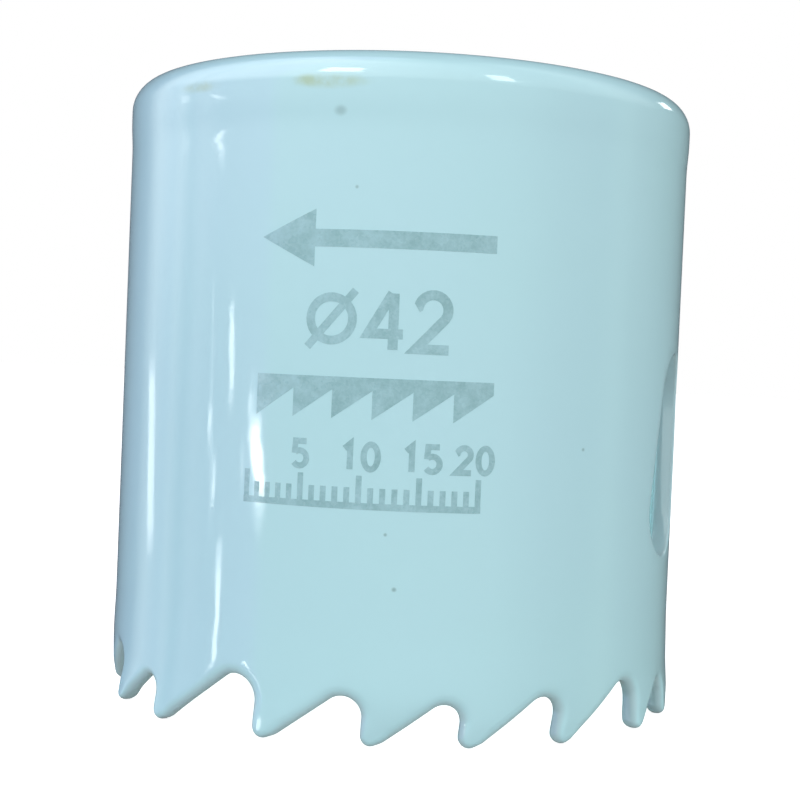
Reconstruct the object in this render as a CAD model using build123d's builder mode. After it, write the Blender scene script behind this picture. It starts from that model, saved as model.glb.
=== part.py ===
from build123d import *
from math import cos, pi, radians, sin, tan
import os

# Hole saw: a bi-metal cup saw that stands on its teeth. The Z axis is the axis of the cup,
# and Z = 0 is the plane that the longest teeth touch. Lengths in millimetres, angles in
# degrees, counter-clockwise seen from the end plate.

# Cup
body_diameter = 41.2          # outside of the wall, above the set teeth
wall_thickness = 1.25
overall_height = 44.0         # longest tooth tips to the top of the end plate

# End plate, welded on top of the wall
flange_thickness = 4.0
flange_overhang = 0.1         # how far the flange stands out past the wall
rim_radius = 2.1              # rounding of the flange's upper edge
spigot_depth = 1.0            # shoulder that centres the plate inside the wall
spigot_clearance = 0.05

# Arbor hole, 5/8 in - 18 UNF, modelled at the crests of its thread
thread_crest_diameter = 14.53
thread_root_diameter = 15.875
thread_lead_in = 0.2          # how far the countersinks reach past the thread's roots

# Drive pin holes round the arbor hole
pin_hole_diameter = 7.0
pin_circle_diameter = 28.6
pin_hole_count = 4
pin_hole_first_angle = 45.0

# Side slots, through which the cut plug is levered out
slot_count = 2
slot_width = 7.0
slot_length = 15.5            # overall, round end to round end
slot_centre_height = 18.5
slot_slant = 13.0             # lean of the slot's top, counter-clockwise

# Teeth. Six pitches make a pattern that repeats round the rim, and the last one is longer by
# the gap at the band's butt weld. Each pitch runs from one cutting face to the next.
# The saw cuts clockwise, so each tooth's cutting face is on its clockwise side.
pattern_pitches = (24.1, 20.2, 18.1, 19.7, 21.2, 15.6)
pattern_sets = (0.45, 0.15, -0.4, -0.2, -0.15, 0.5)        # outward bend at each tip
pattern_tip_heights = (0.0, 0.2, 0.2, 0.2, 0.05, 0.1)      # how much shorter each tooth is
pattern_repeats = 3
weld_gap = 3.3
first_face_angle = 122.0
gullet_depth_ratio = 0.465    # gullet depth over pitch
gullet_radius_ratio = 0.18    # gullet root radius over pitch
rake_angle = 3.0              # lean of the cutting face, tip leading
primary_relief = 10.0         # slope of the short land behind the cutting edge
secondary_relief = 36.0       # slope of the tooth's back
set_height = 3.2              # the teeth bend outward or inward below this height
hard_edge_height = 1.5        # height of the high-speed-steel strip

# Worked out from the sizes above
body_radius = body_diameter / 2
bore_radius = body_radius - wall_thickness
flange_radius = body_radius + flange_overhang
flange_base = overall_height - flange_thickness
pitch_scale = 360 / (pattern_repeats * sum(pattern_pitches) + weld_gap)
rake = radians(rake_angle)
primary = radians(primary_relief)
secondary = radians(secondary_relief)

# How far the cutters run past what they trim, and where they meet behind each tip
cutter_overlap = 0.5
land_overlap = 0.12
inner_reach = bore_radius + min(pattern_sets) - cutter_overlap
outer_reach = body_radius + max(pattern_sets) + cutter_overlap
under_reach = -cutter_overlap


class Tooth:
    """A tooth's cutting face, the pitch that follows it, its set and its tip's height."""

    def __init__(self, face_angle, pitch, set_out, tip_height):
        self.face_angle = face_angle
        self.pitch = pitch
        self.pitch_length = radians(pitch) * body_radius
        self.root_offset = gullet_radius_ratio * pitch
        self.set_out = set_out
        self.tip_height = tip_height


def all_teeth():
    """The teeth in order round the rim."""
    teeth = []
    angle = first_face_angle
    for repeat in range(pattern_repeats):
        for index, set_out in enumerate(pattern_sets):
            pitch = pattern_pitches[index]
            if (repeat + 1, index + 1) == (pattern_repeats, len(pattern_pitches)):
                pitch += weld_gap
            pitch *= pitch_scale
            teeth.append(Tooth(angle, pitch, set_out, pattern_tip_heights[index]))
            angle += pitch
    return teeth


def upright_plane(angle):
    """Plane through the axis. Its X points outward at the angle, and its Y up."""
    outward = Vector(1, 0, 0).rotate(Axis.Z, angle)
    return Plane(origin=(0, 0, 0), x_dir=outward, z_dir=outward.cross(Vector(0, 0, 1)))


def facing_plane(angle, distance, height):
    """Plane square to the radius at the angle. Its X runs counter-clockwise, and its Y up."""
    outward = Vector(1, 0, 0).rotate(Axis.Z, angle)
    along = Vector(0, 1, 0).rotate(Axis.Z, angle)
    return Plane(origin=outward * distance + Vector(0, 0, height), x_dir=along, z_dir=outward)


def gullet_corners(pitch_length, height_before, height_after):
    """Corners of one gullet on the unrolled rim, from the land behind one cutting edge to
    the land behind the next. X runs along the rim from the second edge, and Y is the height."""
    # The root arc touches the tooth's back and the next cutting face
    half_angle = (pi / 2 - secondary - rake) / 2
    root_radius = gullet_radius_ratio * pitch_length
    apex_rise = root_radius * (cos(half_angle + rake) / sin(half_angle) - 1)
    apex_height = gullet_depth_ratio * pitch_length + apex_rise
    apex = (apex_height * tan(rake), apex_height)

    # Both tips stand on their cutting faces, and the cutters meet on the lands behind them
    tip_before = (height_before * tan(rake) - pitch_length, height_before)
    tip = (height_after * tan(rake), height_after)
    first = (tip_before[0] + land_overlap, height_before + land_overlap * tan(primary))
    last = (tip[0] + land_overlap, height_after + land_overlap * tan(primary))

    # The land meets the tooth's back at a knee
    climb = apex_height - height_before - (apex[0] - tip_before[0]) * tan(primary)
    knee_x = apex[0] - climb / (tan(secondary) - tan(primary))
    knee = (knee_x, height_before + (knee_x - tip_before[0]) * tan(primary))
    return first, knee, apex, tip, last


def gullet_profile(tooth, next_tooth, radius):
    """Face of the gullet between two teeth, as it is at this distance from the axis."""
    middle = tooth.pitch_length / 2
    corners = gullet_corners(tooth.pitch_length, tooth.tip_height, next_tooth.tip_height)
    first, knee, apex, tip, last = [(radius * tan((x + middle) / body_radius), y) for x, y in corners]
    root_radius = gullet_radius_ratio * tooth.pitch_length
    with BuildSketch(facing_plane(tooth.face_angle + tooth.pitch / 2, radius, 0)) as profile:
        with BuildLine():
            FilletPolyline(first, knee, apex, tip, last, radius=(0, root_radius, 0))
            Polyline(
                last,
                (last[0], under_reach),
                (first[0], under_reach),
                first,
            )
        make_face()
    return profile.sketch


teeth = all_teeth()

# Rim: the wall and its teeth in one, before the hard edge is told apart
with BuildPart() as rim:
    with BuildSketch(Plane.XY.offset(set_height)):
        Circle(body_radius)
        Circle(bore_radius, mode=Mode.SUBTRACT)
    extrude(amount=flange_base - set_height)

    # Below the bend line each tooth leans by its own set, from gullet to gullet
    for index, tooth in enumerate(teeth):
        start = tooth.face_angle - teeth[index - 1].root_offset
        end = tooth.face_angle + tooth.pitch - tooth.root_offset
        lean = tooth.set_out * (set_height - under_reach) / set_height
        with BuildSketch(upright_plane(start)):
            with BuildLine():
                Polyline(
                    (bore_radius, set_height),
                    (body_radius, set_height),
                    (body_radius + lean, under_reach),
                    (bore_radius + lean, under_reach),
                    close=True,
                )
            make_face()
        revolve(axis=Axis.Z, revolution_arc=end - start)

    # Gullets, cut square to the rim: every edge across the wall points at the axis
    for index, tooth in enumerate(teeth):
        next_tooth = teeth[(index + 1) % len(teeth)]
        inner_profile = gullet_profile(tooth, next_tooth, inner_reach)
        outer_profile = gullet_profile(tooth, next_tooth, outer_reach)
        loft([inner_profile, outer_profile], ruled=True, mode=Mode.SUBTRACT)

    # Slots
    for index in range(slot_count):
        with BuildSketch(facing_plane(index * 360 / slot_count, 0, slot_centre_height)):
            SlotOverall(slot_length, slot_width, rotation=90 - slot_slant)
        extrude(amount=outer_reach, mode=Mode.SUBTRACT)

# Cup wall: the spring-steel band, above the hard edge
with BuildPart() as cup_wall:
    add(rim.part)
    split(bisect_by=Plane.XY.offset(hard_edge_height), keep=Keep.TOP)
cup_wall.part.label = "cup_wall"

# Tooth tips: what the gullets leave of the hard strip
with BuildPart() as tooth_tips:
    add(rim.part)
    split(bisect_by=Plane.XY.offset(hard_edge_height), keep=Keep.BOTTOM)
tooth_tips.part.label = "tooth_tips"

# End plate: a turned disc with a shoulder, then its holes
with BuildPart() as end_plate:
    with BuildSketch(Plane.XY.offset(flange_base)):
        Circle(flange_radius)
    extrude(amount=flange_thickness)
    fillet(end_plate.edges().group_by(Axis.Z)[-1], rim_radius)
    with BuildSketch(Plane.XY.offset(flange_base)):
        Circle(bore_radius - spigot_clearance)
    extrude(amount=-spigot_depth)

    with BuildSketch(Plane.XY.offset(overall_height)):
        Circle(thread_crest_diameter / 2)
    extrude(amount=-(flange_thickness + spigot_depth), mode=Mode.SUBTRACT)
    thread_ends = end_plate.edges().filter_by(GeomType.CIRCLE).filter_by(
        lambda edge: edge.radius < pin_circle_diameter / 2
    )
    chamfer(thread_ends, (thread_root_diameter - thread_crest_diameter) / 2 + thread_lead_in)

    with BuildSketch(Plane.XY.offset(overall_height)):
        with PolarLocations(pin_circle_diameter / 2, pin_hole_count, start_angle=pin_hole_first_angle):
            Circle(pin_hole_diameter / 2)
    extrude(amount=-(flange_thickness + spigot_depth), mode=Mode.SUBTRACT)
end_plate.part.label = "end_plate"

os.makedirs("parts", exist_ok=True)
export_step(cup_wall.part, "parts/cup_wall.step")
export_step(tooth_tips.part, "parts/tooth_tips.step")
export_step(end_plate.part, "parts/end_plate.step")
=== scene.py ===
import bmesh
import bpy
import math
import numpy as np
from mathutils import Matrix, Vector
from mathutils.geometry import delaunay_2d_cdt


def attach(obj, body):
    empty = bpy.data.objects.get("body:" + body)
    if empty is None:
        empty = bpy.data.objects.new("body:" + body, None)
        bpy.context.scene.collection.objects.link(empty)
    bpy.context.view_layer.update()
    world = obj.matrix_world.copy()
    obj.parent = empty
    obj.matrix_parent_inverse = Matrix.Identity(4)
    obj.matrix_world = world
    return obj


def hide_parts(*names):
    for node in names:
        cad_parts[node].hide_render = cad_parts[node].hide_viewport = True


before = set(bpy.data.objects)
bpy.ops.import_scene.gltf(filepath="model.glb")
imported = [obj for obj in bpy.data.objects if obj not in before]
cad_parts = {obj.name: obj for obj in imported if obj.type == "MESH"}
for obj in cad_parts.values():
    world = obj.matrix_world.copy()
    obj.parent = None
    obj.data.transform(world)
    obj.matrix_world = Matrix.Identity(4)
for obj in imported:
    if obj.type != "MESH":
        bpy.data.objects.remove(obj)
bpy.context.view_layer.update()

# Lengths are in millimetres and angles in degrees until a mesh is made. The wall is worked out
# unrolled: s runs counter-clockwise along the wall's outside, and z up from the tooth tips.
MM = 0.001

# The front, where the camera stands, is turned this far from -Y. Angles round the wall and round
# the room are counted from it, to the right.
VIEW_TURN = 20.0
FRONT = VIEW_TURN - 90

# Cup, with its coat of enamel
BODY_R = 20.6
WALL = 1.3
FLANGE_R = 20.7
SEAM_Z = 40.0                # where the end plate sits on the wall
TOP_Z = 44.0
UNDER_Z = 39.0               # underside of the end plate's spigot
SPIGOT_GAP = 0.02
RIM_R = 2.1
GIRTH = 2 * math.pi * BODY_R

# The wall flows out into the flange from this height, over this much
FLANGE_FOOT, FLANGE_BLEND = 38.9, 2.2
# At the gullets it swells: by how much, from what height, and over how much at its top and foot
FLARE, FLARE_TOP, FLARE_FOOT = 0.07, 7.5, 0.4
FLARE_TOP_FADE, FLARE_FOOT_FADE = 3.5, 1.6

# Rounded edges
BEAD_WIDTH = 0.85            # teeth: how far up the wall the rounding reaches
BEAD_DEPTH = 0.58            # and how far into the wall
TIP_BEAD = 0.75              # its reach at the tips, over the tip's own rounding
TIP_NEAR, TIP_FADE = 1.2, 1.8    # how close to a tip that holds, and over how much it fades
SLOT_BEAD = 0.26

# Teeth: pitches in degrees, outward set and shortfall of each tip
PITCHES = (24.1, 20.2, 18.1, 19.7, 21.2, 15.6)
SETS = (0.45, 0.15, -0.4, -0.2, -0.15, 0.5)
TIP_HEIGHTS = (0.0, 0.2, 0.2, 0.2, 0.05, 0.1)
REPEATS = 3
WELD_GAP = 3.3
FIRST_ANGLE = 122.0
GULLET_DEPTH = 0.465         # over the pitch
GULLET_RADIUS = 0.18         # over the pitch
RAKE, PRIMARY, SECONDARY = (math.radians(a) for a in (3, 21, 36))    # face, land and back
TIP_R = 0.72                 # rounding of the tips in the unrolled outline
FULL_PITCH = 7.0             # on a shorter pitch than this the tip is sharper
KNEE_R = 1.6                 # where the land turns into the back
KNEE_SHARE = 0.8             # most of the land that the knee's rounding may take
SET_Z = 3.2                  # the teeth lean below this height
SET_BLEND = 0.45             # how softly the lean begins
SET_EDGE = 1.6               # one tooth's set turns into the next one's over this much

# Slots
SLOT_W, SLOT_L, SLOT_Z, SLOT_SLANT = 6.6, 14.3, 18.7, 12.0

# Holes in the end plate
PIN_R, PIN_CIRCLE_R, PIN_BEAD = 3.5, 14.3, 0.35
PIN_ANGLES = (45, 135, 225, 315)
CREST_R, ROOT_R, THREAD_PITCH, LEAD_IN = 7.265, 7.9375, 25.4 / 18, 0.2
SINK_R = ROOT_R + LEAD_IN    # countersink
SINK_BEAD, SINK_ROUNDING = 0.22, 0.8    # reach and share of its outer edge's rounding
MOUTH_R = SINK_R + SINK_BEAD
# The shoulder's lower edge: its rounding, and how far that cuts in at its middle
SPIGOT_BEAD, SPIGOT_BEAD_MIDDLE = 0.25, 0.07
# The thread's profile: slope of its flanks, and what the crest's flat takes off them
THREAD_SLOPE, THREAD_CREST = 2.9, 0.32

# How finely the surfaces are divided
COLUMNS = 240
ARC_STEPS, LINE_STEPS = (10, 8, 18), (3, 12, 9)    # at each tip, knee and gullet, and after it
BEAD_STEPS, BEAD_FLAT_STEPS = 9, 2
SLOT_BEAD_STEPS, SLOT_FLAT_STEPS = 5, 4
SLOT_ARC_STEPS, SLOT_LINE_STEPS = 22, 10
FINE_STEP, FINE_TOP, COARSE_STEP = 0.6, 9.0, 1.3
SEAM_ROWS = [38.9, 39.3, 39.7]
RIM_ROWS, RIM_STEPS = (40.6, 41.2), 14
PIN_SIDES, PIN_BEAD_STEPS = 56, 6
THREAD_SIDES, THREAD_ROWS, THREAD_ENDS = 144, 92, 0.02
FACE_GRID = np.arange(-18.2, 18.3, 1.3)

# Least distances of the inner points from fixed ones, on the wall and on the plate
SIDE_CLEAR, RIM_CLEAR, LOOP_CLEAR = 0.2, 0.3, 0.28
EDGE_CLEAR, GRID_CLEAR = 0.4, 0.5
SLOT_SLACK = 1e-6            # points on a slot's own loop count as outside it
# Points nearer than this are one
SHEET_MERGE, PRINT_MERGE = 1e-7, 1e-5


def smooth(x):
    """Rises softly from 0 to 1 as x does."""
    x = np.clip(x, 0, 1)
    return x * x * (3 - 2 * x)


# ---------------------------------------------------------------- teeth, unrolled
def tooth_table():
    """Each tooth's place along the rim, the length of its pitch, its set and its shortfall."""
    scale = 360 / (REPEATS * sum(PITCHES) + WELD_GAP)
    teeth, angle = [], FIRST_ANGLE
    for k in range(REPEATS * len(PITCHES)):
        i = k % len(PITCHES)
        pitch = PITCHES[i] + (WELD_GAP if k == REPEATS * len(PITCHES) - 1 else 0)
        length = math.radians(pitch * scale) * BODY_R
        teeth.append((math.radians(angle) * BODY_R, length, SETS[i], TIP_HEIGHTS[i]))
        angle += pitch * scale
    return teeth


TEETH = tooth_table()


def outline_corners():
    """Tip, knee and gullet apex of every tooth, with the rounding of each: (s, z, radius)."""
    half = (math.pi / 2 - RAKE - PRIMARY) / 2
    tip_drop = math.sin(PRIMARY) / math.tan(half) + math.cos(PRIMARY) - 1
    gullet_half = (math.pi / 2 - SECONDARY - RAKE) / 2
    corners = []
    for s, length, _, height in TEETH:
        tip = TIP_R * min(1.0, length / FULL_PITCH)
        z = height - tip * tip_drop
        root = GULLET_RADIUS * length
        rise = root * (math.cos(gullet_half + RAKE) / math.sin(gullet_half) - 1)
        apex_z = GULLET_DEPTH * length + rise
        apex_s = s + length + apex_z * math.tan(RAKE)
        tip_s = s + z * math.tan(RAKE)
        climb = apex_z - z - (apex_s - tip_s) * math.tan(PRIMARY)
        knee_s = apex_s - climb / (math.tan(SECONDARY) - math.tan(PRIMARY))
        land = (knee_s - tip_s) / math.cos(PRIMARY) - tip / math.tan(half)
        knee = min(KNEE_R, KNEE_SHARE * land / math.tan((SECONDARY - PRIMARY) / 2))
        corners.append((tip_s, z, tip))
        corners.append((knee_s, z + (knee_s - tip_s) * math.tan(PRIMARY), knee))
        corners.append((apex_s, apex_z, root))
    return corners


def rounded_outline(corners, arc_steps, line_steps):
    """Points along the corners' rounded chain, once round the rim."""
    n = len(corners)
    arcs = []
    for i in range(n):
        shift = [-GIRTH if i == 0 else 0, 0, GIRTH if i == n - 1 else 0]
        a, b, c = (np.array(corners[(i + k - 1) % n][:2]) + (shift[k], 0) for k in range(3))
        u, v = (b - a) / np.linalg.norm(b - a), (c - b) / np.linalg.norm(c - b)
        turn = math.atan2(u[0] * v[1] - u[1] * v[0], u @ v)
        radius = corners[i][2]
        start = b - u * radius * math.tan(abs(turn) / 2)
        side = math.copysign(1, turn)
        centre = start + side * radius * np.array((-u[1], u[0]))
        steps = arc_steps[i % 3]
        angles = np.linspace(0, turn, steps + 1)
        spoke = start - centre
        arc = [centre + (spoke[0] * math.cos(t) - spoke[1] * math.sin(t),
                         spoke[0] * math.sin(t) + spoke[1] * math.cos(t)) for t in angles]
        arcs.append(np.array(arc))
    points = []
    for i in range(n):
        points.append(arcs[i])
        end = arcs[i][-1]
        start = arcs[(i + 1) % n][0] + ((GIRTH, 0) if i == n - 1 else (0, 0))
        steps = line_steps[i % 3]
        points.append(np.array([end + (start - end) * k / steps for k in range(1, steps)]))
    return np.concatenate([p for p in points if len(p)])


def ring_normals(points, period):
    """Unit normals of a closed chain, to the left of its direction. period is added at its end."""
    after = np.roll(points, -1, 0)
    before = np.roll(points, 1, 0)
    after[-1] += period
    before[0] -= period
    t = after - before
    t /= np.linalg.norm(t, axis=1)[:, None]
    return np.stack((-t[:, 1], t[:, 0]), 1)


# ---------------------------------------------------------------- the wall's shape
def tooth_set(s, z):
    """How far the set teeth lean out of the wall at each place."""
    lean = SET_BLEND * np.log1p(np.exp((SET_Z - z) / SET_BLEND)) / SET_Z
    total = np.zeros_like(s)
    for shift in (-GIRTH, 0, GIRTH):
        for i, (tooth_s, length, out, _) in enumerate(TEETH):
            root_before = tooth_s - GULLET_RADIUS * TEETH[i - 1][1]
            root_after = tooth_s + length - GULLET_RADIUS * length
            up = smooth((s - shift - root_before + SET_EDGE / 2) / SET_EDGE)
            down = smooth((s - shift - root_after + SET_EDGE / 2) / SET_EDGE)
            total += out * (up - down)
    return total * lean


def wall_radius(s, z):
    """Radius of the wall's outside."""
    flare = FLARE * smooth((FLARE_TOP - z) / FLARE_TOP_FADE) * smooth((z - FLARE_FOOT) / FLARE_FOOT_FADE)
    flange = (FLANGE_R - BODY_R) * smooth((z - FLANGE_FOOT) / FLANGE_BLEND)
    return BODY_R + flare + flange + tooth_set(s, z)


def wall_points(s, z, depth):
    """Places in space of points on the unrolled wall, at a depth below its outside."""
    r = wall_radius(s, z) - depth
    return np.stack((r * np.cos(s / BODY_R), r * np.sin(s / BODY_R), z), 1)


# ---------------------------------------------------------------- meshes
SHARP_TURN = math.radians(60)
PRINT_SHARP_TURN = 0.7


def make_piece(name, verts, faces, material, sharp_turn):
    """A closed piece from points in millimetres, shaded smooth up to the sharp turn."""
    mesh = bpy.data.meshes.new(name)
    mesh.from_pydata([tuple(v) for v in verts * MM], [], faces)
    build = bmesh.new()
    build.from_mesh(mesh)
    bmesh.ops.recalc_face_normals(build, faces=build.faces)
    for face in build.faces:
        face.smooth = True
    for edge in build.edges:
        edge.smooth = len(edge.link_faces) == 2 and edge.calc_face_angle() < sharp_turn
    build.to_mesh(mesh)
    build.free()
    mesh.materials.append(material)
    piece = bpy.data.objects.new(name, mesh)
    bpy.context.scene.collection.objects.link(piece)
    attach(piece, "root")
    return piece


class Shell:
    """A mesh put together from rings and sheets of points, in millimetres."""

    def __init__(self):
        self.points, self.faces, self.beads = [], [], []
        self.count = 0

    def add(self, points, bead=0.0):
        """Adds points, and says how far round the bead of an edge they lie, from 0 to 1."""
        first = self.count
        self.points.append(np.asarray(points, float))
        self.beads.append(np.full(len(points), bead))
        self.count += len(points)
        return np.arange(first, self.count)

    def strip(self, a, b):
        """Quads between two closed rows of as many points."""
        for k in range(len(a)):
            j = (k + 1) % len(a)
            self.faces.append((a[k], a[j], b[j], b[k]))

    def skin(self, rows):
        """Quads between each closed row and the next."""
        for a, b in zip(rows, rows[1:]):
            self.strip(a, b)

    def make(self, name, material):
        """The finished piece, with the beads as an attribute for its material."""
        faces = [tuple(int(i) for i in face) for face in self.faces]
        piece = make_piece(name, np.concatenate(self.points), faces, material, SHARP_TURN)
        piece.data.attributes.new("bead", "FLOAT", "POINT").data.foreach_set(
            "value", np.concatenate(self.beads).astype(np.float32))
        return piece


def triangulate(loops, in_hole, inner_points):
    """Triangles between fixed loops of points in the plane. Returns all points and the faces.
    The loops' points come first and keep their order."""
    coords, edges, first = [], [], 0
    for loop in loops:
        coords += [Vector(p) for p in loop]
        n = len(loop)
        edges += [(first + k, first + (k + 1) % n) for k in range(n)]
        first += n
    coords += [Vector(p) for p in inner_points]
    out, _, faces, origin, _, _ = delaunay_2d_cdt(coords, edges, [], 1, SHEET_MERGE)
    if len(out) != len(coords):
        raise ValueError("points of the sheet fell together")
    back = [ids[0] for ids in origin]
    flat = np.array([tuple(c) for c in coords])
    kept = []
    for face in faces:
        ids = [back[i] for i in face]
        if not in_hole(flat[ids].mean(0)):
            kept.append(ids)
    return flat, kept


def points_inside(points, polygon):
    """Which points lie inside a polygon."""
    x, y = points[:, 0], points[:, 1]
    inside = np.zeros(len(points), bool)
    for (x1, y1), (x2, y2) in zip(polygon, np.roll(polygon, -1, 0)):
        if y1 == y2:
            continue
        crosses = ((y1 > y) != (y2 > y)) & (x < (x2 - x1) * (y - y1) / (y2 - y1) + x1)
        inside ^= crosses
    return inside


def bead_rows(width, deep, thickness, steps, flat_steps):
    """(distance from the edge, depth, bead) across an edge whose two corners are rounded.
    The distances are arrays if the width is one."""
    rows = []
    for k in range(steps, -1, -1):
        t = math.pi / 2 * k / steps
        rows.append((width * (1 - math.cos(t)), deep * (1 - math.sin(t)), math.cos(t)))
    for k in range(1, flat_steps):
        rows.append((0.0 * width, deep + (thickness - 2 * deep) * k / flat_steps, 1.0))
    for k in range(steps + 1):
        t = math.pi / 2 * k / steps
        rows.append((width * (1 - math.cos(t)), thickness - deep * (1 - math.sin(t)), math.cos(t)))
    return rows


def bead_width(outline):
    """How far up the wall the teeth's edges are rounded at each point of their outline."""
    width = np.full(len(outline), BEAD_WIDTH)
    for s, z, tip in outline_corners()[::3]:
        for shift in (-GIRTH, 0, GIRTH):
            reach = np.hypot(outline[:, 0] - s - shift, outline[:, 1] - z)
            narrow = TIP_BEAD * tip
            grown = smooth((reach - TIP_NEAR) / TIP_FADE)
            width = np.minimum(width, narrow + (BEAD_WIDTH - narrow) * grown)
    return width


def slot_loop(centre_s, offset):
    """Points round a slot on the unrolled wall, grown by an offset, clockwise."""
    radius = SLOT_W / 2 + offset
    half = (SLOT_L - SLOT_W) / 2
    points = []
    for end in (0, 1):
        sign = 1 - 2 * end
        for k in range(SLOT_ARC_STEPS + 1):
            t = math.pi * k / SLOT_ARC_STEPS
            points.append((sign * radius * -math.cos(t), sign * (half + radius * math.sin(t))))
        for k in range(1, SLOT_LINE_STEPS):
            points.append((sign * radius, sign * (half - 2 * half * k / SLOT_LINE_STEPS)))
    lean = math.radians(SLOT_SLANT)
    turned = [(x * math.cos(lean) + y * math.sin(lean), y * math.cos(lean) - x * math.sin(lean))
              for x, y in points]
    return np.array([(centre_s + x, SLOT_Z + y) for x, y in turned])


def in_slot(p, centre_s):
    """Whether a place on the unrolled wall lies in a slot or on its rounded edge."""
    lean = math.radians(SLOT_SLANT)
    x, y = p[0] - centre_s, p[1] - SLOT_Z
    along = x * math.sin(lean) + y * math.cos(lean)
    across = x * math.cos(lean) - y * math.sin(lean)
    along = max(abs(along) - (SLOT_L - SLOT_W) / 2, 0)
    return math.hypot(along, across) < SLOT_W / 2 + SLOT_BEAD - SLOT_SLACK


def wall_grid(rim, heights, boundary, slot_loops, in_slots):
    """Points for the inside of the sheet, in rows, clear of its sides and of the fixed loops."""
    left, right = rim[0, 0], rim[0, 0] + GIRTH
    fixed = np.concatenate([rim] + slot_loops)
    points = []
    for row, z in enumerate(heights):
        for k in range(COLUMNS):
            s = left + GIRTH * (k + 0.5 * (row % 2)) / COLUMNS
            if left + SIDE_CLEAR < s < right - SIDE_CLEAR:
                points.append((s, z))
    points = np.array(points)
    near = np.array([np.min(np.hypot(*(fixed - p).T)) for p in points])
    keep = (near > LOOP_CLEAR) & points_inside(points, np.array(boundary))
    keep &= np.array([not in_slots(p) for p in points])
    return points[keep]


def build_wall(material):
    """The wall and its teeth as one closed shell, and the place along it where it was cut open."""
    shell = Shell()
    outline = rounded_outline(outline_corners(), ARC_STEPS, LINE_STEPS)
    # The sheet is cut open where a gullet is deepest
    start = int(np.argmax(outline[:, 1]))
    outline = np.roll(outline, -start, 0)
    outline[len(outline) - start:, 0] += GIRTH
    normals = ring_normals(outline, np.array((GIRTH, 0)))

    # Rounded edge of the teeth, from the outside to the inside
    rows = []
    width = bead_width(outline)
    for distance, depth, bead in bead_rows(width, BEAD_DEPTH, WALL, BEAD_STEPS, BEAD_FLAT_STEPS):
        p = outline + normals * distance[:, None]
        rows.append(shell.add(wall_points(p[:, 0], p[:, 1], depth), bead))
    shell.skin(rows)

    # Sheet above the teeth, the same outside and inside
    rim = outline + normals * width[:, None]
    left, right = rim[0, 0], rim[0, 0] + GIRTH
    heights = list(np.arange(FINE_STEP, FINE_TOP, FINE_STEP))
    heights += list(np.arange(FINE_TOP + FINE_STEP, FLANGE_FOOT, COARSE_STEP)) + SEAM_ROWS
    side = [z for z in heights if z > rim[0, 1] + RIM_CLEAR]
    top = [(left + GIRTH * k / COLUMNS, SEAM_Z) for k in range(COLUMNS + 1)]
    boundary = [tuple(p) for p in rim] + [(right, rim[0, 1])]
    boundary += [(right, z) for z in side] + top[::-1] + [(left, z) for z in side[::-1]]
    slot_centres = []
    for centre in (0, math.pi * BODY_R):
        while centre < left:
            centre += GIRTH
        slot_centres.append(centre)
    slot_loops = [slot_loop(c, SLOT_BEAD) for c in slot_centres]

    def in_slots(p):
        return any(in_slot(p, centre) for centre in slot_centres)

    grid = wall_grid(rim, heights, boundary, slot_loops, in_slots)
    flat, faces = triangulate([boundary] + slot_loops, in_slots, grid)
    n = len(outline)
    n_boundary = len(boundary)

    # The sheet's right side is its left side again
    same = {n: 0}
    for k in range(len(side)):
        same[n + 1 + k] = n_boundary - 1 - k
    top_right = n + 1 + len(side)
    top_left = top_right + COLUMNS
    same[top_right] = top_left

    sheets = []
    for row, depth in ((rows[0], 0.0), (rows[-1], WALL)):
        ids = {k: row[k] for k in range(n)}
        new = [k for k in range(len(flat)) if k >= n and k not in same]
        p = flat[new]
        added = shell.add(wall_points(p[:, 0], p[:, 1], depth))
        ids.update(zip(new, added))
        for k, other in same.items():
            ids[k] = ids[other]
        shell.faces += [tuple(ids[i] for i in f) for f in faces]
        sheets.append(ids)

    outer, inner = sheets
    ring = list(range(top_right + 1, top_left + 1))
    shell.strip([outer[k] for k in ring], [inner[k] for k in ring])

    # Rounded edges of the slots
    first = n_boundary
    edge_rows = bead_rows(SLOT_BEAD, SLOT_BEAD, WALL, SLOT_BEAD_STEPS, SLOT_FLAT_STEPS)[1:-1]
    for centre, loop in zip(slot_centres, slot_loops):
        m = len(loop)
        rows = [[outer[first + k] for k in range(m)]]
        for distance, depth, bead in edge_rows:
            p = slot_loop(centre, distance)
            rows.append(shell.add(wall_points(p[:, 0], p[:, 1], depth), bead))
        rows.append([inner[first + k] for k in range(m)])
        shell.skin(rows)
        first += m
    piece = shell.make("wall_shell", material)
    return piece, left


# ---------------------------------------------------------------- the end plate
def circle_points(centre, radius, z, n, turn=0.0):
    """Points round a level circle, starting at a turn in radians."""
    t = turn + 2 * math.pi * np.arange(n) / n
    return np.stack((centre[0] + radius * np.cos(t), centre[1] + radius * np.sin(t),
                     np.full(n, z)), 1)


def thread_radius(turn, z):
    """Radius of the arbor hole's threaded wall, with a countersink at each end."""
    phase = ((z - UNDER_Z) / THREAD_PITCH - turn / (2 * math.pi)) % 1.0
    # Slanted flanks between a flat crest and a flat root
    wave = np.clip((0.5 - np.abs(phase - 0.5)) * THREAD_SLOPE - THREAD_CREST, 0, 1)
    thread = CREST_R + (ROOT_R - CREST_R) * wave
    return np.maximum(thread, np.maximum(SINK_R - (TOP_Z - z), SINK_R - (z - UNDER_Z)))


PINS = [(PIN_CIRCLE_R * math.cos(math.radians(a)), PIN_CIRCLE_R * math.sin(math.radians(a)))
        for a in PIN_ANGLES]


def in_hole(p):
    """Whether a place on the plate's flat faces lies in a hole."""
    if math.hypot(p[0], p[1]) < MOUTH_R:
        return True
    return any(math.hypot(p[0] - c[0], p[1] - c[1]) < PIN_R + PIN_BEAD for c in PINS)


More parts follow.
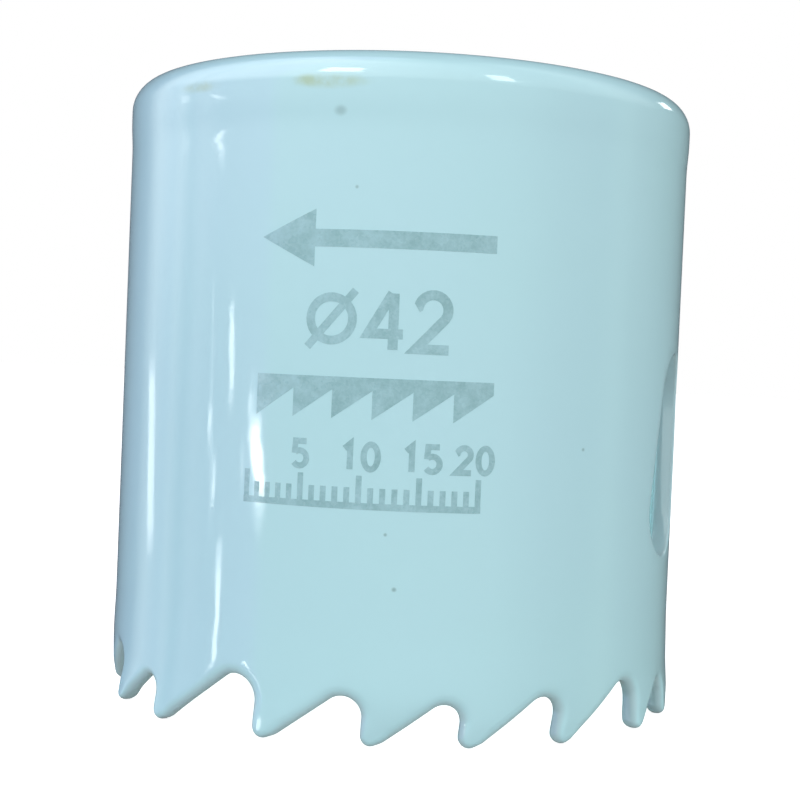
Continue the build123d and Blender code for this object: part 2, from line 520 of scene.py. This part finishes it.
def plate_rim(shell, left):
    """Rings up the flange's edge and round its upper corner."""
    rings = []
    turn = left / BODY_R
    for z in (SEAM_Z, *RIM_ROWS, TOP_Z - RIM_R):
        radius = float(wall_radius(np.array([left]), np.array([z]))[0])
        rings.append(shell.add(circle_points((0, 0), radius, z, COLUMNS, turn)))
    for k in range(1, RIM_STEPS + 1):
        t = math.pi / 2 * k / RIM_STEPS
        radius = FLANGE_R - RIM_R + RIM_R * math.cos(t)
        z = TOP_Z - RIM_R + RIM_R * math.sin(t)
        rings.append(shell.add(circle_points((0, 0), radius, z, COLUMNS, turn)))
    shell.skin(rings)
    return rings


def plate_spigot(shell, seam_ring, left):
    """The shoulder inside the wall, from the seam down to its rounded lower edge."""
    radius = BODY_R - WALL - SPIGOT_GAP
    rings = [seam_ring]
    middle = SPIGOT_BEAD_MIDDLE
    for r, z in ((radius, SEAM_Z), (radius, UNDER_Z + SPIGOT_BEAD),
                 (radius - middle, UNDER_Z + middle), (radius - SPIGOT_BEAD, UNDER_Z)):
        rings.append(shell.add(circle_points((0, 0), r, z, COLUMNS, left / BODY_R)))
    shell.skin(rings)
    return rings


def pin_hole(shell, centre):
    """A pin hole, its edges rounded by the enamel. Returns its top and bottom rings."""
    rings = []
    for z_end, sign in ((TOP_Z, -1), (UNDER_Z, 1)):
        for k in range(PIN_BEAD_STEPS + 1):
            step = k if sign < 0 else PIN_BEAD_STEPS - k
            t = math.pi / 2 * step / PIN_BEAD_STEPS
            radius = PIN_R + PIN_BEAD * (1 - math.sin(t))
            z = z_end + sign * PIN_BEAD * (1 - math.cos(t))
            rings.append(shell.add(circle_points(centre, radius, z, PIN_SIDES)))
    shell.skin(rings)
    return rings[0], rings[-1]


def arbor_hole(shell):
    """The threaded hole, a height field round its axis. Returns its top and bottom rings."""
    rings = [shell.add(circle_points((0, 0), MOUTH_R, TOP_Z, THREAD_SIDES))]
    angles = 2 * math.pi * np.arange(THREAD_SIDES) / THREAD_SIDES
    for z in np.linspace(TOP_Z - THREAD_ENDS, UNDER_Z + THREAD_ENDS, THREAD_ROWS):
        radius = thread_radius(angles, z)
        # Enamel rounds the countersinks' outer edges
        reach = min(TOP_Z - z, z - UNDER_Z)
        radius = radius + max(0.0, SINK_BEAD - reach) ** 2 / (2 * SINK_BEAD) * SINK_ROUNDING
        rings.append(shell.add(np.stack((radius * np.cos(angles), radius * np.sin(angles),
                                         np.full(THREAD_SIDES, z)), 1)))
    rings.append(shell.add(circle_points((0, 0), MOUTH_R, UNDER_Z, THREAD_SIDES)))
    shell.skin(rings)
    return rings[0], rings[-1]


def flat_face(shell, rings, z):
    """A flat face of the plate, between its outer ring, which comes first, and its holes."""
    points = np.concatenate(shell.points)
    loops = [points[ring][:, :2] for ring in rings]
    fixed = np.concatenate(loops)
    edge = np.hypot(*loops[0][0])
    grid = []
    for x in FACE_GRID:
        for y in FACE_GRID:
            clear = np.min(np.hypot(fixed[:, 0] - x, fixed[:, 1] - y))
            if math.hypot(x, y) < edge - EDGE_CLEAR and clear > GRID_CLEAR and not in_hole((x, y)):
                grid.append((x, y))
    flat, faces = triangulate(loops, in_hole, grid)
    fixed_ids = np.concatenate(rings)
    added = shell.add([(x, y, z) for x, y in flat[len(fixed_ids):]])
    ids = np.concatenate((fixed_ids, added))
    shell.faces += [tuple(ids[i] for i in f) for f in faces]


def build_plate(material, left):
    """The end plate as one closed shell: its rim, shoulder, holes and two flat faces."""
    shell = Shell()
    rim = plate_rim(shell, left)
    spigot = plate_spigot(shell, rim[0], left)
    holes = [pin_hole(shell, centre) for centre in PINS] + [arbor_hole(shell)]
    flat_face(shell, [rim[-1]] + [top for top, _ in holes], TOP_Z)
    flat_face(shell, [spigot[-1]] + [bottom for _, bottom in holes], UNDER_Z)
    return shell.make("plate_shell", material)


# ---------------------------------------------------------------- printed marks
def flat_mesh(items):
    """One flat bmesh in (s, z). Each item is a list of shapes that run together, and each shape
    is an outer ring and the rings of its holes."""
    build = bmesh.new()
    for shapes in items:
        coords, edges, first = [], [], 0
        for ring in (ring for shape in shapes for ring in shape):
            coords += [Vector(p) for p in ring]
            n = len(ring)
            edges += [(first + k, first + (k + 1) % n) for k in range(n)]
            first += n
        out, _, faces, _, _, _ = delaunay_2d_cdt(coords, edges, [], 1, PRINT_MERGE)
        flat = np.array([tuple(p) for p in out])
        centres = np.array([flat[list(face)].mean(0) for face in faces])
        filled = np.zeros(len(centres), bool)
        for outer, *holes in shapes:
            covers = points_inside(centres, np.array(outer))
            for hole in holes:
                covers &= ~points_inside(centres, np.array(hole))
            filled |= covers
        made = [build.verts.new((x, z, 0)) for x, z in flat]
        for face, kept in zip(faces, filled):
            if kept:
                build.faces.new([made[i] for i in face])
        for vert in made:
            if not vert.link_faces:
                build.verts.remove(vert)
    return build


MITRE_LIMIT = 0.4


def stroke(points, width):
    """A shape as wide as a pen stroke along a chain of points, with mitred corners."""
    p = np.array(points, float)
    d = np.diff(p, axis=0)
    d /= np.linalg.norm(d, axis=1)[:, None]
    n = np.stack((-d[:, 1], d[:, 0]), 1)
    left, right = [], []
    for k in range(len(p)):
        a = n[max(k - 1, 0)]
        b = n[min(k, len(n) - 1)]
        m = (a + b) / np.linalg.norm(a + b)
        m = m / max(m @ a, MITRE_LIMIT) * width / 2
        left.append(p[k] + m)
        right.append(p[k] - m)
    return [left + right[::-1]]


def box_shape(s, z, width, height):
    """An upright box about a place on the wall."""
    return [[(s - width / 2, z - height / 2), (s + width / 2, z - height / 2),
             (s + width / 2, z + height / 2), (s - width / 2, z + height / 2)]]


def oval_ring(s, z, half_width, half_height, pen, steps=40):
    """An upright oval as wide as a pen stroke, about a place on the wall."""
    t = 2 * math.pi * np.arange(steps) / steps
    return [[(s + (half_width + k * pen / 2) * math.cos(a), z + (half_height + k * pen / 2) * math.sin(a))
             for a in t] for k in (1, -1)]


def arc(s, z, rx, rz, start, end, steps=14):
    """Points along part of an oval, from one angle to another."""
    angles = [math.radians(start + (end - start) * k / steps) for k in range(steps + 1)]
    return [(s + rx * math.cos(t), z + rz * math.sin(t)) for t in angles]


# Plain figures drawn with a pen in a box 0.62 wide and 1 tall. Nought is an oval of its own.
FIGURES = {
    "1": [[(0.14, 0.78), (0.36, 0.97), (0.36, 0.0)]],
    "2": [[(0.03, 0.74)] + arc(0.31, 0.71, 0.26, 0.26, 170, -35) + [(0.03, 0.03), (0.6, 0.03)]],
    "4": [[(0.64, 0.27), (0.04, 0.27), (0.44, 0.97)], [(0.47, 0.97), (0.47, 0.0)]],
    "5": [[(0.56, 0.97), (0.13, 0.97), (0.09, 0.50)], arc(0.30, 0.32, 0.28, 0.29, 128, -145)],
}
FIGURE_HALF = 0.31
FIGURE_STEP = 0.84
NOUGHT = (0.27, 0.47)


def figure(body, s, z, size, pen):
    """A whole number centred at a place on the wall, one item for each of its figures."""
    items = []
    for k, name in enumerate(body):
        left = s + (k - (len(body) - 1) / 2) * (FIGURE_STEP * size) - FIGURE_HALF * size
        low = z - size / 2
        if name == "0":
            half_width, half_height = (half * size for half in NOUGHT)
            items.append([oval_ring(left + FIGURE_HALF * size, z, half_width, half_height, pen)])
        else:
            items.append([stroke([(left + x * size, low + y * size) for x, y in line], pen)
                          for line in FIGURES[name]])
    return items


def view_s(angle):
    """Place along the wall of an angle from the front."""
    return math.radians(angle + FRONT) * BODY_R


def arrow():
    """An arrow in the direction of cut, clockwise."""
    tail, tip, z = view_s(16), view_s(-26), 32.0
    neck, shaft, barb = tip + 3.6, 0.55, 1.8
    return [[[[(tail, z - shaft), (tail, z + shaft), (neck, z + shaft), (neck, z + barb), (tip, z),
               (neck, z - barb), (neck, z - shaft)]]]]


def diameter():
    """The diameter sign and its number."""
    s, z, ring, ring_pen = view_s(-12.5), 27.0, 1.35, 0.55
    across, up, slash_pen = 1.5, 1.8, 0.5
    size, pen = 3.6, 0.62
    slash = stroke([(s - across, z - up), (s + across, z + up)], slash_pen)
    return [[oval_ring(s, z, ring, ring, ring_pen), slash]] + figure("42", view_s(1.0), z, size, pen)


def tooth_band():
    """A band with a row of saw teeth."""
    start, z, step, count = view_s(-26), 22.1, 2.55, 6
    top, gullet, tip = z + 1.3, z + 0.5, z - 1.3
    outline = [(start, top)]
    for k in range(count):
        outline += [(start + k * step, tip), (start + (k + 1) * step, gullet)]
    return [[[outline + [(start + count * step, top)]]]]


def rule():
    """A rule of twenty marks, with a plain number at every fifth."""
    left, right, z = view_s(-28), view_s(15), 15.4
    marks, every = 20, 5
    line, mark, short, long, inset = 0.42, 0.36, 1.15, 1.9, 0.2
    number_z, size, pen, nudge = z + 3.1, 1.65, 0.38, 0.5
    shapes = [box_shape((left + right) / 2, z, right - left, line)]
    for k in range(marks + 1):
        tall = long if k % every == 0 else short
        s = left + inset + (right - left - 2 * inset) * k / marks
        shapes.append(box_shape(s, z + tall / 2, mark, tall))
    items = [shapes]
    for k in range(every, marks + 1, every):
        # The last number stands a little to the left, over the rule's end
        s = left + (right - left) * (k // every) / (marks // every) - (nudge if k == marks else 0)
        items += figure(str(k), s, number_z, size, pen)
    return items


PRINT_PROUD, PRINT_BURIED = 0.012, 0.03
PRINT_CUT = 0.5              # the print is cut this fine to lie round the wall


def build_print(material):
    """The printed marks as thin closed slabs round the wall."""
    build = flat_mesh(arrow() + diameter() + tooth_band() + rule())
    cut = min(v.co.x for v in build.verts) + PRINT_CUT
    high = max(v.co.x for v in build.verts)
    while cut < high:
        bmesh.ops.bisect_plane(build, geom=build.verts[:] + build.edges[:] + build.faces[:],
                               plane_co=(cut, 0, 0), plane_no=(1, 0, 0), dist=PRINT_MERGE)
        cut += PRINT_CUT
    bmesh.ops.recalc_face_normals(build, faces=build.faces)
    s, z = np.array([(v.co.x, v.co.y) for v in build.verts]).T
    outside = wall_points(s, z, -PRINT_PROUD)
    inside = wall_points(s, z, PRINT_BURIED)
    build.verts.index_update()
    border = [(e.verts[0].index, e.verts[1].index) for e in build.edges if len(e.link_faces) == 1]
    faces = [[v.index for v in f.verts] for f in build.faces]
    build.free()
    n = len(outside)
    faces += [[i + n for i in f[::-1]] for f in faces]
    faces += [[a, b, b + n, a + n] for a, b in border]
    verts = np.concatenate((outside, inside))
    return make_piece("printed_marks", verts, faces, material, PRINT_SHARP_TURN)


# ---------------------------------------------------------------- materials
class Graph:
    """Short ways to add nodes to one node tree."""

    def __init__(self, owner):
        owner.use_nodes = True
        self.tree = owner.node_tree
        self.tree.nodes.clear()

    def add(self, kind, **facts):
        node = self.tree.nodes.new(kind)
        for key, value in facts.items():
            setattr(node, key, value)
        return node

    def link(self, a, b):
        self.tree.links.new(a, b)

    def put(self, socket, value):
        if isinstance(value, bpy.types.NodeSocket):
            self.link(value, socket)
        else:
            socket.default_value = value

    def math(self, operation, *values):
        node = self.add("ShaderNodeMath", operation=operation)
        for socket, value in zip(node.inputs, values):
            self.put(socket, value)
        return node.outputs[0]

    def product(self, first, *others):
        for other in others:
            first = self.math("MULTIPLY", first, other)
        return first

    def vector(self, operation, *values, scale=None):
        node = self.add("ShaderNodeVectorMath", operation=operation)
        for socket, value in zip(node.inputs, values):
            self.put(socket, value)
        if scale is not None:
            self.put(node.inputs["Scale"], scale)
        return node.outputs["Value"] if operation in ("LENGTH", "DOT_PRODUCT") else node.outputs[0]

    def remap(self, value, low, high, to_low=0.0, to_high=1.0):
        """Goes softly from one value to the other as the value given goes from low to high."""
        node = self.add("ShaderNodeMapRange", interpolation_type="SMOOTHSTEP")
        for socket, v in zip(node.inputs, (value, low, high, to_low, to_high)):
            self.put(socket, v)
        return node.outputs[0]

    def mix(self, amount, a, b):
        node = self.add("ShaderNodeMix", data_type="RGBA")
        self.put(node.inputs["Factor"], amount)
        for socket, value in ((node.inputs[6], a), (node.inputs[7], b)):
            self.put(socket, value if isinstance(value, bpy.types.NodeSocket) else (*value, 1))
        return node.outputs[2]


class Nodes(Graph):
    """The nodes of one material, around a Principled shader."""

    def __init__(self, name):
        self.material = bpy.data.materials.new(name)
        super().__init__(self.material)
        output = self.add("ShaderNodeOutputMaterial")
        self.shader = self.add("ShaderNodeBsdfPrincipled")
        self.link(self.shader.outputs[0], output.inputs[0])
        coord = self.add("ShaderNodeTexCoord")
        self.place = self.vector("SCALE", coord.outputs["Object"], scale=1 / MM)

    def noise(self, size, detail=2.0, stretch=(1, 1, 1)):
        """Noise with features about this many millimetres across."""
        where = self.vector("MULTIPLY", self.place, stretch)
        node = self.add("ShaderNodeTexNoise")
        self.link(where, node.inputs["Vector"])
        node.inputs["Scale"].default_value = 1 / size
        node.inputs["Detail"].default_value = detail
        return node.outputs["Fac"]

    def spot(self, centre, radii):
        """1 inside an ellipsoid, falling softly to 0 at its surface."""
        off = self.vector("SUBTRACT", self.place, centre)
        off = self.vector("DIVIDE", off, radii)
        reach = self.vector("LENGTH", off)
        return self.remap(reach, 1.0, 1.0 - SPOT_SOFTNESS)

    def bump(self, height, distance, before=None):
        """Bumps this many millimetres high, on top of others."""
        node = self.add("ShaderNodeBump")
        node.inputs["Strength"].default_value = 1.0
        node.inputs["Distance"].default_value = distance * MM
        self.link(height, node.inputs["Height"])
        if before:
            self.link(before, node.inputs["Normal"])
        return node.outputs[0]


def on_wall(angle, z):
    """A place on the wall at an angle from the front."""
    t = math.radians(angle + FRONT)
    return (BODY_R * math.cos(t), BODY_R * math.sin(t), z)


ENAMEL = (0.465, 0.690, 0.740)
ENAMEL_GREEN = (0.455, 0.705, 0.715)
# Painted shade: the enamel's rounded edges are darkened in their colour, most across the edge's middle
EDGE_SHADE = (0.38, 0.43, 0.44)     # of the enamel's rounded edges, as a camera shows them
EDGE_SHADE_FROM, EDGE_SHADE_SHARE = 0.35, 0.5
STAIN = (0.40, 0.52, 0.34)
SPECK = (0.26, 0.40, 0.40)
INK = (0.235, 0.40, 0.41)
STEEL_DARK, STEEL_LIGHT = (0.30, 0.29, 0.28), (0.52, 0.51, 0.50)
STEEL_FROM, STEEL_TO, STEEL_RAGGED = ROOT_R + 0.28, ROOT_R + 0.12, 0.5
GLOSS = (0.05, 0.09)               # least and most roughness
INK_GLOSS = (0.22, 0.34)
STEEL_DULLER = 0.2

# Waviness and orange peel of the sprayed enamel: size, detail, stretch and height
ENAMEL_BUMPS = (
    (6.0, 1.0, (1, 1, 0.6), 0.030),
    (1.2, 2.0, (1, 1, 1), 0.0035),
    (0.35, 1.0, (1, 1, 1), 0.0006),
)
# Wear: angle from the front, height, radii and strength. Stains are broken up, specks are not.
SPOT_SOFTNESS = 0.8
STAINS = (
    (-14.5, 41.7, (3.2, 3.2, 0.6), 0.75),
    (-18.0, 41.8, (1.6, 1.6, 0.5), 0.7),
    (-42.0, 41.8, (2.4, 2.4, 0.5), 0.6),
)
SPECKS = (
    (-12.3, 39.9, (0.55, 0.55, 0.45), 0.6),
    (0.4, 10.3, (0.22, 0.22, 0.2), 0.9),
    (-1.5, 13.7, (0.16, 0.16, 0.16), 0.8),
    (35.6, 19.3, (0.18, 0.18, 0.16), 0.7),
    (-8.9, 35.2, (0.16, 0.16, 0.16), 0.7),
)


def enamel_surface(nodes):
    """The sprayed enamel's surface, the same for all that wears it."""
    normal = None
    for size, detail, stretch, height in ENAMEL_BUMPS:
        normal = nodes.bump(nodes.noise(size, detail, stretch), height, normal)
    return normal


def enamel_material():
    """Glossy enamel with its wear, painted shade on its rounded edges, and bare steel in the arbor hole's
    thread.
    """
    nodes = Nodes("enamel")
    colour = nodes.mix(nodes.noise(14, 3), ENAMEL, ENAMEL_GREEN)
    mark = nodes.add("ShaderNodeAttribute", attribute_name="bead")
    # Painted shade along the rounded edges, strongest where the bead attribute is highest
    edge = nodes.math("MULTIPLY", nodes.remap(mark.outputs["Fac"], EDGE_SHADE_FROM, 1.0), EDGE_SHADE_SHARE)
    colour = nodes.mix(edge, colour, EDGE_SHADE)
    breaks = nodes.remap(nodes.noise(1.3, 3), 0.25, 0.7)
    for angle, z, radii, strength in STAINS:
        mask = nodes.product(nodes.spot(on_wall(angle, z), radii), strength, breaks)
        colour = nodes.mix(mask, colour, STAIN)
    for angle, z, radii, strength in SPECKS:
        mask = nodes.product(nodes.spot(on_wall(angle, z), radii), strength)
        colour = nodes.mix(mask, colour, SPECK)

    # Bare steel in the thread
    flat = nodes.vector("MULTIPLY", nodes.place, (1, 1, 0))
    ragged = nodes.math("MULTIPLY", nodes.noise(0.8, 2), STEEL_RAGGED)
    reach = nodes.math("ADD", nodes.vector("LENGTH", flat), ragged)
    bare = nodes.remap(reach, STEEL_FROM, STEEL_TO)
    steel = nodes.mix(nodes.noise(0.25, 2, (1, 1, 6)), STEEL_DARK, STEEL_LIGHT)
    colour = nodes.mix(bare, colour, steel)
    nodes.put(nodes.shader.inputs["Base Color"], colour)
    nodes.put(nodes.shader.inputs["Metallic"], bare)
    rough = nodes.remap(nodes.noise(3.0, 3), 0.3, 0.7, *GLOSS)
    rough = nodes.math("ADD", rough, nodes.math("MULTIPLY", bare, STEEL_DULLER))
    nodes.put(nodes.shader.inputs["Roughness"], rough)
    nodes.shader.inputs["IOR"].default_value = 1.5
    nodes.link(enamel_surface(nodes), nodes.shader.inputs["Normal"])
    return nodes.material


def ink_material():
    """Ink of the printed marks, worn through to the enamel in patches."""
    nodes = Nodes("marking_ink")
    worn = nodes.remap(nodes.noise(1.1, 4), 0.25, 0.75, 0.0, 0.35)
    fine = nodes.remap(nodes.noise(0.22, 2), 0.3, 0.7, 0.0, 0.15)
    colour = nodes.mix(nodes.math("ADD", worn, fine), INK, ENAMEL)
    nodes.put(nodes.shader.inputs["Base Color"], colour)
    nodes.put(nodes.shader.inputs["Roughness"], nodes.remap(nodes.noise(0.6, 2), 0.3, 0.7, *INK_GLOSS))
    nodes.link(enamel_surface(nodes), nodes.shader.inputs["Normal"])
    return nodes.material


# ---------------------------------------------------------------- the object
enamel = enamel_material()
wall_shell, seam_s = build_wall(enamel)
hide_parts("cup_wall", "tooth_tips")

plate_shell = build_plate(enamel, seam_s)
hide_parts("end_plate")

printed_marks = build_print(ink_material())


# ---------------------------------------------------------------- floor, light and camera
FLOOR_HALF = 1.5             # metres
FLOOR_COLOUR = (0.76, 0.74, 0.71, 1)
FLOOR_GLOW = 0.8             # to the eye alone, so that it is as white as the photo's ground


def build_floor():
    """A white card under the object."""
    mesh = bpy.data.meshes.new("floor")
    half = FLOOR_HALF
    mesh.from_pydata([(-half, -half, 0), (half, -half, 0), (half, half, 0), (-half, half, 0)],
                     [], [(0, 1, 2, 3)])
    material = bpy.data.materials.new("floor_card")
    graph = Graph(material)
    output = graph.add("ShaderNodeOutputMaterial")
    diffuse = graph.add("ShaderNodeBsdfDiffuse")
    diffuse.inputs["Color"].default_value = FLOOR_COLOUR
    glow = graph.add("ShaderNodeEmission")
    path = graph.add("ShaderNodeLightPath")
    graph.put(glow.inputs["Strength"], graph.math("MULTIPLY", path.outputs["Is Camera Ray"], FLOOR_GLOW))
    both = graph.add("ShaderNodeAddShader")
    graph.link(diffuse.outputs[0], both.inputs[0])
    graph.link(glow.outputs[0], both.inputs[1])
    # From below, the floor is clear to the eye
    side = graph.add("ShaderNodeNewGeometry").outputs["Backfacing"]
    below = graph.math("MULTIPLY", side, path.outputs["Is Camera Ray"])
    pick = graph.add("ShaderNodeMixShader")
    graph.link(below, pick.inputs[0])
    graph.link(both.outputs[0], pick.inputs[1])
    graph.link(graph.add("ShaderNodeBsdfTransparent").outputs[0], pick.inputs[2])
    graph.link(pick.outputs[0], output.inputs[0])
    mesh.materials.append(material)
    floor = bpy.data.objects.new("floor", mesh)
    floor.visible_glossy = False
    bpy.context.scene.collection.objects.link(floor)


build_floor()


# The room as the enamel's gloss mirrors it. Azimuths are counted to the right from the front.
ROOM = (
    (-180, (0.05, 0.05, 0.08)),
    (-160, (0.10, 0.10, 0.15)),
    (-147, (0.10, 0.10, 0.24)),
    (-130, (0.16, 0.18, 0.55)),
    (-119, (1.10, 1.20, 1.70)),
    (-108, (0.80, 0.95, 1.70)),
    (-103, (1.20, 1.30, 2.00)),
    (-96, (0.35, 0.50, 1.30)),
    (-89, (0.95, 1.00, 1.90)),
    (-80, (0.60, 0.65, 1.60)),
    (-70, (0.75, 0.80, 1.70)),
    (-57, (0.90, 0.95, 1.90)),
    (-52, (0.90, 1.40, 1.50)),
    (0, (0.90, 1.30, 1.30)),
    (40, (0.85, 1.20, 1.15)),
    (62, (0.45, 0.60, 0.60)),
    (80, (0.40, 0.60, 0.60)),
    (93, (0.75, 1.05, 1.00)),
    (104, (0.40, 0.55, 0.55)),
    (125, (0.20, 0.30, 0.30)),
    (150, (0.10, 0.12, 0.12)),
    (180, (0.05, 0.05, 0.08)),
)
# Windows and lamps in it: azimuth, height, half width, half height, lean, strength
WINDOWS = (
    (-117.6, -4.0, 2.6, 3.3, -0.6, 3.0),
    (-79.9, -2.7, 0.6, 0.6, 0.0, 9.0),
    (-76.8, -5.0, 0.7, 0.8, 0.0, 9.0),
    (-79.3, -1.8, 0.5, 4.5, -0.3, 2.0),
    (-70.3, 0.0, 1.0, 1.5, -0.3, 11.0),
    (-72.4, -9.0, 1.0, 1.6, -0.3, 10.0),
    (-56.4, -4.1, 2.2, 1.3, -1.7, 30.0),
    (-60.5, -2.0, 0.5, 0.25, 0.0, 20.0),
    (-54.4, -6.2, 0.5, 0.35, 0.0, 7.0),
    (-63.2, -4.3, 0.5, 0.5, 0.0, 9.0),
    (-56.0, -16.0, 4.5, 2.2, 0.0, 9.0),
    (-82.0, 8.1, 1.3, 0.6, -5.9, 9.0),
    (-100.4, 8.6, 2.6, 0.9, 0.0, 1.6),
    (-73.0, -11.6, 1.2, 0.35, 0.0, 12.0),
    (-59.0, -11.3, 1.4, 0.45, 0.0, 10.0),
    (-31.0, 38.0, 9.0, 7.0, 0.0, 9.0),
    (37.0, 33.0, 5.0, 8.0, 0.0, 8.0),
    (133.0, 22.0, 5.0, 3.0, 0.0, 5.0),
)
WINDOW_SOFT_SIDES, WINDOW_SOFT_ENDS = (1.15, 0.85), (1.25, 0.75)
GLINT_TINT = (0.95, 1.0, 1.0)

# A broad light overhead, brighter to the left, that ends above the object. These are the
# heights and azimuths between which it fades.
OVER_LOW, OVER_HIGH, OVER_LEFT, OVER_RIGHT = (12, 24), (80, 68), (-125, -75), (128, 104)
OVER_SPAN, OVER_POWER = (-60, 40), (2.5, 0.7)
# A weaker one under it
UPPER_LOW, UPPER_BACK = (-4, 10), (140, 104)
UPPER_SPAN, UPPER_POWER = (-70, 60), (1.1, 0.1)
# Towards the floor it is dull
DULL, DULL_SPAN, DULL_SHARE = (0.30, 0.30, 0.27), (-15, -32), (0.0, 0.85)
# The soft light on all but gloss is stronger in front
SOFT_LIGHT, SOFT_SPAN, SOFT_POWER = (0.492, 0.535, 0.585), (-0.8, 0.8), (0.70, 1.16)
BACKDROP = (1.0, 1.0, 1.0)


def build_world():
    """White behind the object, an even soft light on it, and the room that its gloss mirrors."""
    world = bpy.data.worlds.new("studio")
    bpy.context.scene.world = world
    graph = Graph(world)
    coord = graph.add("ShaderNodeTexCoord")
    direction = coord.outputs["Generated"]
    turn = math.radians(VIEW_TURN)
    front = graph.vector("DOT_PRODUCT", direction, (math.sin(turn), -math.cos(turn), 0))
    right = graph.vector("DOT_PRODUCT", direction, (math.cos(turn), math.sin(turn), 0))
    azimuth = graph.math("MULTIPLY", graph.math("ARCTAN2", right, front), 180 / math.pi)
    height = graph.math("ARCSINE", graph.vector("DOT_PRODUCT", direction, (0, 0, 1)))
    height = graph.math("MULTIPLY", height, 180 / math.pi)

    ramp = graph.add("ShaderNodeValToRGB")
    graph.link(graph.math("ADD", graph.math("DIVIDE", azimuth, 360), 0.5), ramp.inputs[0])
    stops = ramp.color_ramp.elements
    while len(stops) < len(ROOM):
        stops.new(0.5)
    for stop, (angle, colour) in zip(stops, ROOM):
        stop.position = angle / 360 + 0.5
        stop.color = (*colour, 1)
    room = ramp.outputs["Color"]

    over = graph.product(
        graph.remap(height, *OVER_LOW), graph.remap(height, *OVER_HIGH),
        graph.remap(azimuth, *OVER_LEFT), graph.remap(azimuth, *OVER_RIGHT),
        graph.remap(azimuth, *OVER_SPAN, *OVER_POWER))
    upper = graph.product(
        graph.remap(height, *UPPER_LOW), graph.remap(azimuth, *UPPER_SPAN, *UPPER_POWER),
        graph.remap(graph.math("ABSOLUTE", azimuth), *UPPER_BACK))
    glints = graph.math("ADD", over, upper)
    for angle, tilt, half_width, half_height, lean, strength in WINDOWS:
        up = graph.math("SUBTRACT", height, tilt)
        across = graph.math("SUBTRACT", graph.math("SUBTRACT", azimuth, angle),
                            graph.math("MULTIPLY", up, lean))
        sides = [half_width * share for share in WINDOW_SOFT_SIDES]
        ends = [half_height * share for share in WINDOW_SOFT_ENDS]
        glint = graph.product(
            graph.remap(graph.math("ABSOLUTE", across), *sides),
            graph.remap(graph.math("ABSOLUTE", up), *ends), strength)
        glints = graph.math("ADD", glints, glint)
    room = graph.mix(graph.remap(height, *DULL_SPAN, *DULL_SHARE), room, DULL)
    room = graph.vector("ADD", room, graph.vector("SCALE", GLINT_TINT, scale=glints))

    path = graph.add("ShaderNodeLightPath")
    soft = graph.vector("SCALE", SOFT_LIGHT, scale=graph.remap(front, *SOFT_SPAN, *SOFT_POWER))
    colour = graph.mix(path.outputs["Is Glossy Ray"], soft, room)
    colour = graph.mix(path.outputs["Is Camera Ray"], colour, BACKDROP)
    shown = graph.add("ShaderNodeBackground")
    graph.link(colour, shown.inputs["Color"])
    output = graph.add("ShaderNodeOutputWorld")
    graph.link(shown.outputs[0], output.inputs[0])


build_world()


LAMP_AIM = 0.022             # height of the cup's middle, in metres


def place_lamp(lamp):
    """Puts a lamp in the scene, out of the camera's sight and the gloss."""
    lamp.visible_camera = False
    lamp.visible_glossy = False
    bpy.context.scene.collection.objects.link(lamp)


def add_lamp(name, angle, distance, height, size, power, colour):
    """A soft square lamp that faces the cup. The angle is counted to the right from the front.
    The room stands for the lamps in reflections."""
    data = bpy.data.lights.new(name, "AREA")
    data.size = size
    data.energy = power
    data.color = colour
    lamp = bpy.data.objects.new(name, data)
    t = math.radians(angle + FRONT)
    lamp.location = (distance * math.cos(t), distance * math.sin(t), height)
    aim = Vector((0, 0, LAMP_AIM))
    lamp.rotation_euler = (aim - lamp.location).to_track_quat("-Z", "Y").to_euler()
    place_lamp(lamp)


def add_glow(name, height, radius, power):
    """A little of the room's light inside the cup, as it comes in by the holes above."""
    data = bpy.data.lights.new(name, "POINT")
    data.energy = power
    data.shadow_soft_size = radius
    lamp = bpy.data.objects.new(name, data)
    lamp.location = (0, 0, height)
    place_lamp(lamp)


# Lengths in metres, powers in watts
add_lamp("key", -35, distance=0.60, height=0.45, size=0.45, power=2.35, colour=(0.95, 0.94, 1.0))
add_lamp("fill", 62, distance=0.60, height=0.30, size=0.50, power=1.25, colour=(1.0, 0.97, 0.95))
add_glow("inside", height=0.020, radius=0.008, power=0.006)


# The photo's camera, from a fit to the cup's outline and the tooth tips
PHOTO_SIZE, FOCUS = 800, 1482.98                 # pixels
CAMERA_DISTANCE, CAMERA_HEIGHT = 112.504, 24.576
YAW, PITCH, ROLL = -0.000281, 0.026754, 0.042186     # radians
SENSOR = 36.0


def build_camera():
    """The camera of the photo, put back where the fit found it."""
    # Before it turns it looks along +Y, and its image's axes are to the right, down and ahead
    base = Matrix(((1, 0, 0), (0, 0, -1), (0, 1, 0)))
    turn_y = Matrix(((math.cos(YAW), 0, math.sin(YAW)), (0, 1, 0), (-math.sin(YAW), 0, math.cos(YAW))))
    turn_p = Matrix(((1, 0, 0), (0, math.cos(PITCH), -math.sin(PITCH)),
                     (0, math.sin(PITCH), math.cos(PITCH))))
    turn_r = Matrix(((math.cos(ROLL), -math.sin(ROLL), 0), (math.sin(ROLL), math.cos(ROLL), 0), (0, 0, 1)))
    rows = turn_r @ turn_p @ turn_y @ base
    axes = Matrix((rows[0], -rows[1], -rows[2])).transposed()
    spin = Matrix.Rotation(math.radians(VIEW_TURN), 3, "Z")
    data = bpy.data.cameras.new("camera")
    data.sensor_width = SENSOR
    data.lens = FOCUS / PHOTO_SIZE * SENSOR
    data.clip_start = 0.005
    data.clip_end = 10
    camera = bpy.data.objects.new("camera", data)
    place = spin @ Vector((0, -CAMERA_DISTANCE * MM, CAMERA_HEIGHT * MM))
    camera.matrix_world = Matrix.Translation(place) @ (spin @ axes).to_4x4()
    bpy.context.scene.collection.objects.link(camera)
    bpy.context.scene.camera = camera


build_camera()
bpy.context.scene.view_settings.view_transform = "Standard"
